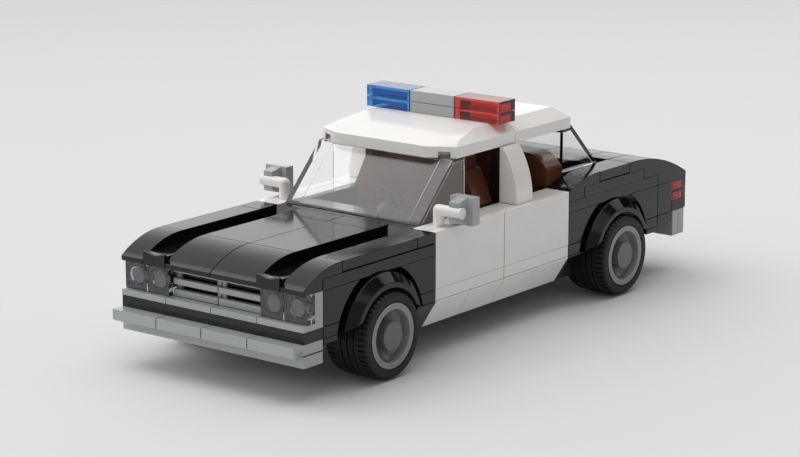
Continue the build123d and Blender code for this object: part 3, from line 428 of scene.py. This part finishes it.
def windscreen_shell():
    """A raked pane with side wings and a top, open below and behind."""
    low, high = (Vector(end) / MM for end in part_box("windscreen"))
    top = high.z - SCREEN_STUD
    half, foot, back = high.x, low.z, high.y
    lean = SCREEN_RAKE / (top - foot)
    per_depth = (1 + lean * lean) ** 0.5
    inside = half - GLASS_THICKNESS
    ceiling = top - GLASS_THICKNESS
    setback = (ceiling - foot) * lean
    pane = low.y + GLASS_THICKNESS * per_depth
    border = pane + SCREEN_STEP * per_depth
    edge = half - SCREEN_BORDER
    section = [(edge - SCREEN_STEP_RUN, pane), (edge, border), (inside, border), (inside, back)]
    one_side = [(half, low.y, foot), (half, back, foot)]
    one_side += [(half, back, top), (half, low.y + SCREEN_RAKE, top)]
    one_side += [(x, y, foot) for x, y in section]
    one_side += [(x, y if y == back else y + setback, ceiling) for x, y in section]
    points = [(side * x, y, z) for side in (-1, 1) for x, y, z in one_side]
    # one side's points: 0-3 outside, 4-7 the inner section at the foot, 8-11 at the ceiling
    side_faces = [(0, 3, 2, 1), (4, 5, 9, 8), (5, 6, 10, 9), (6, 7, 11, 10)]
    side_faces += [(0, 1, 7, 6), (1, 2, 11, 7)]
    faces = side_faces + [tuple(i + len(one_side) for i in face) for face in side_faces]
    faces += [
        (0, 12, 15, 3), (3, 15, 14, 2), (2, 14, 23, 11), (16, 4, 8, 20),
        (0, 6, 5, 4, 16, 17, 18, 12), (11, 23, 22, 21, 20, 8, 9, 10),
    ]
    screen = new_piece("windscreen_shell", points, faces, "clear_plastic", "body")
    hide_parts("windscreen")
    edged(screen, GLASS_EDGE)


# Rear window: its shell is thinner than the CAD's too
REAR_PANE_RUN = 5.2          # from its front to its pane's top
REAR_LIP = 0.7               # rises this far behind the roof


def rear_window_shell():
    """A raked pane with side wings and a top, and a lip that shows behind the roof."""
    low, high = (Vector(end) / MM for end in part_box("rear_window"))
    roof_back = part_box("roof_rear")[1][1] / MM + PLAY
    top, front, foot, back = high.z - REAR_LIP, low.y, low.z, high.y
    lean = (back - front - REAR_PANE_RUN) / (top - foot)
    ceiling = top - GLASS_THICKNESS
    inner_back = back - GLASS_THICKNESS * (1 + lean * lean) ** 0.5
    half = high.x
    inside = half - GLASS_THICKNESS
    outer = [
        (back, foot), (front + REAR_PANE_RUN - REAR_LIP * lean, high.z), (roof_back, high.z),
        (roof_back, top), (front, top), (front, foot),
    ]
    inner = [(inner_back, foot), (inner_back - (ceiling - foot) * lean, ceiling)]
    inner += [(front, ceiling), (front, foot)]
    one_side = [(half, y, z) for y, z in outer] + [(inside, y, z) for y, z in inner]
    points = [(side * x, y, z) for side in (-1, 1) for x, y, z in one_side]
    # one side's points: 0-5 outside, 6-9 inside
    side_faces = [(0, 5, 4, 3, 2, 1), (6, 7, 8, 9), (0, 6, 9, 5), (4, 5, 9, 8)]
    faces = side_faces + [tuple(i + len(one_side) for i in face) for face in side_faces]
    faces += [(i + 1, i + 11, i + 10, i) for i in range(4)]
    faces += [(6, 16, 17, 7), (7, 17, 18, 8), (16, 6, 0, 10), (8, 18, 14, 4)]
    window = new_piece("rear_window_shell", points, faces, "clear_plastic", "body")
    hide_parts("rear_window")
    edged(window, GLASS_EDGE)


# Hood channels: a mouth with a dipped, rounded lip at the front and a wedge at the back
CHANNEL_FLOOR = FLOOR_LEVEL + 5 * PLATE
CHANNEL_WIDTH = STUD - 2 * PLAY
SCOOP_LENGTH = STUD - 2 * PLAY
SCOOP_CELLS = 28             # along each side of its top
SCOOP_LIP = 0.6              # ends of the lip over the channel's floor
SCOOP_LIP_DIP = 0.7
SCOOP_LIP_SHAPE = 1.5        # power of the sine that the dip follows
SCOOP_LIP_WIDTH = 1.4
SCOOP_LIP_LEVEL = 0.4        # the share of that width before it falls to the floor
SCOOP_ROUND = 0.4
SCOOP_SHARP = 50             # degrees
WEDGE_FOOT = 3.6
WEDGE_TOP = 0.4


def smooth_step(low, high, x):
    """0 up to one value, 1 from another, and a smooth rise between them."""
    t = min(1.0, max(0.0, (x - low) / (high - low)))
    return t * t * (3 - 2 * t)


def rounded_off(distance):
    """How far a rounded edge drops at a distance from the upright face."""
    if distance >= SCOOP_ROUND:
        return 0.0
    return SCOOP_ROUND - (SCOOP_ROUND ** 2 - (SCOOP_ROUND - distance) ** 2) ** 0.5


def scoop_height(across, along):
    """Height of the mouth's top at a place measured from its inner front corner."""
    dip = SCOOP_LIP_DIP * sin(pi * across / CHANNEL_WIDTH) ** SCOOP_LIP_SHAPE
    ridge = 1 - smooth_step(SCOOP_LIP_LEVEL * SCOOP_LIP_WIDTH, SCOOP_LIP_WIDTH, along)
    top = CHANNEL_FLOOR + (SCOOP_LIP - dip) * ridge
    return top - rounded_off(min(across, CHANNEL_WIDTH - across, along))


def channel_piece(side, name):
    """The mouth of one hood channel."""
    low, high = (Vector(end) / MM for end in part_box("channel_ends"))
    inner, front = high.x - CHANNEL_WIDTH, low.y
    # finer steps near the edges, where the lip is
    shares = [0.5 - 0.5 * cos(pi * i / SCOOP_CELLS) for i in range(SCOOP_CELLS + 1)]
    points, rows = [], []
    for v in shares:
        rows.append(list(range(len(points), len(points) + len(shares))))
        for u in shares:
            across, along = u * CHANNEL_WIDTH, v * SCOOP_LENGTH
            place = (side * (inner + across), front + along, scoop_height(across, along))
            points.append(place)
    faces = []
    for first, second in zip(rows, rows[1:]):
        faces += strip(first, second, closed=False)
    rim = rows[0][:-1] + [row[-1] for row in rows[:-1]]
    rim += rows[-1][:0:-1] + [row[0] for row in rows[:0:-1]]
    under = range(len(points), len(points) + len(rim))
    points += [(points[i][0], points[i][1], low.z) for i in rim]
    faces += strip(rim, under, closed=True)
    faces.append(tuple(under))
    return new_piece(name, points, faces, "black_plastic", "body", sharp=SCOOP_SHARP)


def channel_wedge(side, name):
    """The wedge that closes one hood channel at its back."""
    high = Vector(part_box("channel_ends")[1]) / MM
    back, top, foot = high.y, high.z, CHANNEL_FLOOR
    outline = [(back - WEDGE_FOOT, foot), (back, foot), (back, top), (back - WEDGE_TOP, top)]
    ends = (high.x - CHANNEL_WIDTH, high.x)
    points = [(side * x, y, z) for x in ends for y, z in outline]
    faces = strip(range(4), range(4, 8), closed=True) + [(0, 1, 2, 3), (4, 5, 6, 7)]
    return edged(new_piece(name, points, faces, "black_plastic", "body"), EDGE_RADIUS)


# Mudguard flares: a skin over each mudguard's rim, from the body's side out to its level face.
# Radii are over the tyre's, and distances outward from the body's side.
BODY_HALF = 4 * STUD
GUARD_RADIUS = 4.2           # outside of the CAD mudguard
FLARE_RISE = 0.5             # the skin above it
FLARE_SKIN = 0.25            # the skin below it
FLARE_START = 0.8            # where the bevel starts
FLARE_INNER = 0.2            # where the skin's underside turns down
FLARE_FACE_RADIUS = 2.15     # where the bevel meets the level face
FLARE_FACE = 3.11            # just proud of that face
FLARE_TUCK = (0.51, 0.1)     # in and down from there, to the skin's lower edge
FOOT_LEVEL = 10.69           # the plane that cuts the feet passes this far over the axle
FOOT_SLOPE = 0.4             # and falls by this to either side
FLARE_STEPS = 60
FLARE_SHARP = 20             # degrees


def mudguard_flare(corner):
    """The bevelled rim of one mudguard, cut off in the plane of its feet."""
    low, high = (Vector(end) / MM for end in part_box("tyre_" + corner))
    centre = (low + high) / 2
    side = 1 if centre.x > 0 else -1
    tyre = (high.z - low.z) / 2
    outside = tyre + GUARD_RADIUS
    face_edge = tyre + FLARE_FACE_RADIUS
    section = [
        (0.0, outside + FLARE_RISE), (FLARE_START, outside + FLARE_RISE),
        (FLARE_FACE, face_edge), (FLARE_FACE - FLARE_TUCK[0], face_edge - FLARE_TUCK[1]),
        (FLARE_INNER, outside - FLARE_SKIN), (0.0, outside - FLARE_SKIN),
    ]
    tilt = atan2(FOOT_SLOPE, 1)
    reach = (1 + FOOT_SLOPE ** 2) ** 0.5
    points, rows = [], []
    for x, radius in section:
        end = tilt + acos(FOOT_LEVEL / (radius * reach))
        rows.append(range(len(points), len(points) + FLARE_STEPS + 1))
        for step in range(FLARE_STEPS + 1):
            angle = end * (2 * step / FLARE_STEPS - 1)
            y, z = centre.y + radius * sin(angle), centre.z + radius * cos(angle)
            points.append((side * (BODY_HALF + x), y, z))
    faces = []
    for first, second in zip(rows, rows[1:] + rows[:1]):
        faces += strip(first, second, closed=False)
    faces += [tuple(row[0] for row in rows), tuple(row[-1] for row in rows)]
    name = "mudguard_flare_" + corner
    edged(new_piece(name, points, faces, "black_plastic", "body", sharp=FLARE_SHARP), EDGE_RADIUS)


for corner in CORNERS:
    treaded_tyre(corner)
for corner in CORNERS:
    mudguard_flare(corner)
windscreen_shell()
rear_window_shell()
for side, hand in ((1, "left"), (-1, "right")):
    mouth = channel_piece(side, "channel_mouth_" + hand)
    wedge = channel_wedge(side, "channel_wedge_" + hand)
    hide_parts("channel_ends")
    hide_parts("channel_ends")

# ---- Floor, light and camera -------------------------------------------------

# The floor, in metres
FLOOR_RADIUS = 30.0
FLOOR_SIDES = 96
PAPER_TONES = ((0.765, 0.765, 0.768), (0.775, 0.775, 0.778))
PAPER_SCALE = 40
PAPER_ROUGHNESS = 0.9
PAPER_SPECULAR = 0.1
PAPER_LEVEL = 0.78           # brightness of the paper beyond the floor
# Light from the surroundings: the direction it is strongest from, the cosine it starts at, its peak
WORLD_LOBES = (
    ((-1, 0, 0), 0.0, 1.28),
    ((1, 0, 0), 0.0, 0.04),
    ((0, -0.75, 0.66), 0.0, 0.40),
    ((-0.58, 0.79, 0.20), 0.82, 0.45),
)
# Softboxes: name, place and sides in metres, power in watts
LAMPS = (
    ("overhead", (-0.1, -0.03, 1.1), (1.1, 1.1), 5.3),
    ("behind", (0.2, 0.8, 0.9), (0.8, 0.8), 2.0),
    ("beside", (1.1, 0.2, 0.6), (0.8, 0.8), 0.9),
    ("windscreen_glow", (-0.85, -0.33, 1.1), (0.7, 0.7), 1.8),
)
LAMP_TARGET = (0, 0, 0.03)
# The camera, fitted to the brick grid's edges in the photograph
LENS, SENSOR_WIDTH = 117.82, 36
CAMERA_PLACE = (446.74, -583.57, 200.25)
CAMERA_AZIMUTH, CAMERA_ELEVATION = 37.853, 13.396      # degrees
NEAREST, FARTHEST = 0.01, 50           # metres


def pale_floor():
    """A pale disc of paper, large enough to reach the horizon."""
    mesh = bpy.data.meshes.new("floor")
    form = bmesh.new()
    bmesh.ops.create_circle(form, cap_ends=True, radius=FLOOR_RADIUS, segments=FLOOR_SIDES)
    form.to_mesh(mesh)
    form.free()
    floor = bpy.data.objects.new("floor", mesh)
    bpy.context.scene.collection.objects.link(floor)
    material, tree, shader = new_material("floor_paper")
    pale = mixed(tree, object_noise(tree, PAPER_SCALE), *PAPER_TONES)
    tree.links.new(pale, shader.inputs["Base Color"])
    shader.inputs["Roughness"].default_value = PAPER_ROUGHNESS
    shader.inputs["Specular IOR Level"].default_value = PAPER_SPECULAR
    mesh.materials.append(material)


def area_light(name, place, size, power):
    """A rectangular softbox that faces the car."""
    data = bpy.data.lights.new(name, "AREA")
    data.shape = "RECTANGLE"
    data.size, data.size_y = size
    data.energy = power
    light = bpy.data.objects.new(name, data)
    light.location = place
    way = Vector(LAMP_TARGET) - Vector(place)
    light.rotation_euler = way.to_track_quat("-Z", "Y").to_euler()
    bpy.context.scene.collection.objects.link(light)


def world_light():
    """Soft light that changes with direction, and plain paper where the floor ends."""
    world = bpy.data.worlds.new("studio")
    world.use_nodes = True
    tree = world.node_tree
    background = tree.nodes["Background"]
    background.inputs["Color"].default_value = (1, 1, 1, 1)
    coords = tree.nodes.new("ShaderNodeTexCoord")
    total = 0.0
    for direction, start, strength in WORLD_LOBES:
        facing = tree.nodes.new("ShaderNodeVectorMath")
        facing.operation = "DOT_PRODUCT"
        facing.inputs[1].default_value = direction
        tree.links.new(coords.outputs["Generated"], facing.inputs[0])
        lobe = ranged(tree, facing.outputs["Value"], start, 1.0, high=strength)
        total = calculated(tree, "ADD", total, lobe)
    path = tree.nodes.new("ShaderNodeLightPath")
    seen = tree.nodes.new("ShaderNodeMix")
    seen.inputs["B"].default_value = PAPER_LEVEL
    camera_ray, through_glass = path.outputs["Is Camera Ray"], path.outputs["Is Transmission Ray"]
    paper = calculated(tree, "MAXIMUM", camera_ray, through_glass)
    tree.links.new(paper, seen.inputs["Factor"])
    tree.links.new(total, seen.inputs["A"])
    tree.links.new(seen.outputs["Result"], background.inputs["Strength"])
    bpy.context.scene.world = world


def photograph_camera():
    """The camera at the photograph's place and angle."""
    data = bpy.data.cameras.new("camera")
    data.sensor_width = SENSOR_WIDTH
    data.lens = LENS
    data.clip_start, data.clip_end = NEAREST, FARTHEST
    camera = bpy.data.objects.new("camera", data)
    azimuth, elevation = radians(CAMERA_AZIMUTH), radians(CAMERA_ELEVATION)
    level = cos(elevation)
    back = Vector((sin(azimuth) * level, -cos(azimuth) * level, sin(elevation)))
    camera.location = Vector(CAMERA_PLACE) * MM
    camera.rotation_mode = "QUATERNION"
    camera.rotation_quaternion = (-back).to_track_quat("-Z", "Y")
    bpy.context.scene.collection.objects.link(camera)
    bpy.context.scene.camera = camera


bpy.context.scene.view_settings.view_transform = "Standard"
pale_floor()
world_light()
for name, place, size, power in LAMPS:
    area_light(name, place, size, power)
photograph_camera()
